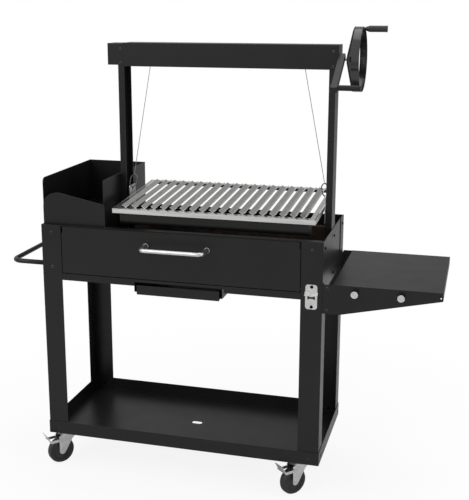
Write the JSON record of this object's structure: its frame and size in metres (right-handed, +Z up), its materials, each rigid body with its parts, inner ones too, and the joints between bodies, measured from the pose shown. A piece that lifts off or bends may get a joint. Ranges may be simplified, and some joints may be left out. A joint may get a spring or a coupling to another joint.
{
  "type": "charcoal grill",
  "caption": "Charcoal grill cart on casters with a side brazier, a drop-down front, a crank-raised sloping grate of V bars, an ash drawer, a side shelf and a side handle.",
  "frame": {"origin": "on the floor, under the middle of the whole grill's bounding box", "axes": "+Z up, +X to the shelf and handwheel end as seen from the front, +Y from the front to the back"},
  "size_m": [1.5306, 0.5336, 1.5997],
  "materials": {
    "black_coat": "satin",
    "dark_steel": "satin",
    "stainless": "satin",
    "zinc": "satin",
    "rubber": "matte",
    "firebrick": "matte",
    "grip_plastic": "satin"
  },
  "bodies": {
    "frame": {"leg_front_left": "black_coat", "leg_front_right": "black_coat", "leg_rear_left": "black_coat", "leg_rear_right": "black_coat", "base_tray": "black_coat", "hearth_box": "black_coat", "front_frame": "black_coat", "door_hinge_rod": "zinc", "ash_grid": "dark_steel", "firebrick_floor": "firebrick", "firebrick_back": "firebrick", "brazier_shell": "black_coat", "brazier_front": "black_coat", "ember_grate": "dark_steel", "post_left": "black_coat", "post_right": "black_coat", "lift_beam": "black_coat", "beam_end_box": "black_coat", "beam_end_plate": "black_coat", "bearing_left": "zinc", "bearing_right": "zinc", "side_shelf": "black_coat", "shelf_peg_1": "zinc", "shelf_peg_2": "zinc", "bottle_opener": "zinc", "side_handle": "black_coat", "caster_front_left_plate": "zinc", "caster_front_right_plate": "zinc", "caster_rear_left_plate": "zinc", "caster_rear_right_plate": "zinc"},
    "door": {"front_door": "black_coat", "door_handle": "stainless"},
    "drawer": {"ash_drawer": "black_coat"},
    "windlass": {"winding_shaft": "zinc", "drum_left": "zinc", "drum_right": "zinc", "ratchet_gear": "zinc", "handwheel_ring": "black_coat", "handwheel_spoke": "black_coat", "grip_spindle": "zinc"},
    "wheel_grip": {"grip": "grip_plastic"},
    "lever": {"ratchet_lever": "black_coat"},
    "grate": {"grill_grate": "stainless", "grease_tray": "black_coat", "lift_plate_left": "stainless", "lift_plate_right": "stainless", "hook_left": "zinc", "hook_right": "zinc", "cable_left": "zinc", "cable_right": "zinc"},
    "caster_front_left": {"caster_front_left_fork": "zinc"},
    "wheel_front_left": {"caster_front_left_wheel": "rubber"},
    "caster_front_right": {"caster_front_right_fork": "zinc"},
    "wheel_front_right": {"caster_front_right_wheel": "rubber"},
    "caster_rear_left": {"caster_rear_left_fork": "zinc"},
    "wheel_rear_left": {"caster_rear_left_wheel": "rubber"},
    "caster_rear_right": {"caster_rear_right_fork": "zinc"},
    "wheel_rear_right": {"caster_rear_right_wheel": "rubber"},
    "pedal_front_left": {"brake_pedal_front_left": "zinc"},
    "pedal_front_right": {"brake_pedal_front_right": "zinc"}
  },
  "joints": [
    {"name": "grate_lift", "type": "slide", "parent": "frame", "child": "grate", "axis": [0, 0, 1], "range_m": [-0.045, 0.34], "deforming": ["cable_left", "cable_right"]},
    {"name": "windlass_turn", "type": "hinge", "parent": "frame", "child": "windlass", "pos_m": [0.39925, 0.02275, 1.49], "axis": [-1, 0, 0], "range_deg": [-192, 1445]},
    {"name": "grip_spin", "type": "hinge", "parent": "windlass", "child": "wheel_grip", "pos_m": [0.49925, 0.02275, 1.5887], "axis": [1, 0, 0], "continuous": true},
    {"name": "ratchet_release", "type": "hinge", "parent": "frame", "child": "lever", "pos_m": [0.39385, -0.01125, 1.4985], "axis": [-1, 0, 0], "range_deg": [0, 18]},
    {"name": "door_drop", "type": "hinge", "parent": "frame", "child": "door", "pos_m": [-0.12075, -0.19225, 0.7555], "axis": [1, 0, 0], "range_deg": [0, 65]},
    {"name": "drawer_slide", "type": "slide", "parent": "frame", "child": "drawer", "axis": [0, -1, 0], "range_m": [0, 0.3]},
    {"name": "swivel_front_left", "type": "hinge", "parent": "frame", "child": "caster_front_left", "pos_m": [-0.58075, -0.15325, 0.115], "axis": [0, 0, 1], "continuous": true},
    {"name": "roll_front_left", "type": "hinge", "parent": "caster_front_left", "child": "wheel_front_left", "pos_m": [-0.59547, -0.1696, 0.049], "axis": [0.7431, -0.6691, 0], "continuous": true},
    {"name": "swivel_front_right", "type": "hinge", "parent": "frame", "child": "caster_front_right", "pos_m": [0.30125, -0.15325, 0.115], "axis": [0, 0, 1], "continuous": true},
    {"name": "roll_front_right", "type": "hinge", "parent": "caster_front_right", "child": "wheel_front_right", "pos_m": [0.28653, -0.1696, 0.049], "axis": [0.7431, -0.6691, 0], "continuous": true},
    {"name": "swivel_rear_left", "type": "hinge", "parent": "frame", "child": "caster_rear_left", "pos_m": [-0.58075, 0.19875, 0.115], "axis": [0, 0, 1], "continuous": true},
    {"name": "roll_rear_left", "type": "hinge", "parent": "caster_rear_left", "child": "wheel_rear_left", "pos_m": [-0.59547, 0.1824, 0.049], "axis": [0.7431, -0.6691, 0], "continuous": true},
    {"name": "swivel_rear_right", "type": "hinge", "parent": "frame", "child": "caster_rear_right", "pos_m": [0.30125, 0.19875, 0.115], "axis": [0, 0, 1], "continuous": true},
    {"name": "roll_rear_right", "type": "hinge", "parent": "caster_rear_right", "child": "wheel_rear_right", "pos_m": [0.28653, 0.1824, 0.049], "axis": [0.7431, -0.6691, 0], "continuous": true},
    {"name": "brake_front_left", "type": "hinge", "parent": "caster_front_left", "child": "pedal_front_left", "pos_m": [-0.60149, -0.17629, 0.094], "axis": [0.7431, -0.6691, 0], "range_deg": [0, 10]},
    {"name": "brake_front_right", "type": "hinge", "parent": "caster_front_right", "child": "pedal_front_right", "pos_m": [0.28051, -0.17629, 0.094], "axis": [0.7431, -0.6691, 0], "range_deg": [0, 10]}
  ],
  "couplings": [
    {"joint": "windlass_turn", "follows": "grate_lift", "rad_per_m": 74.074}
  ]
}
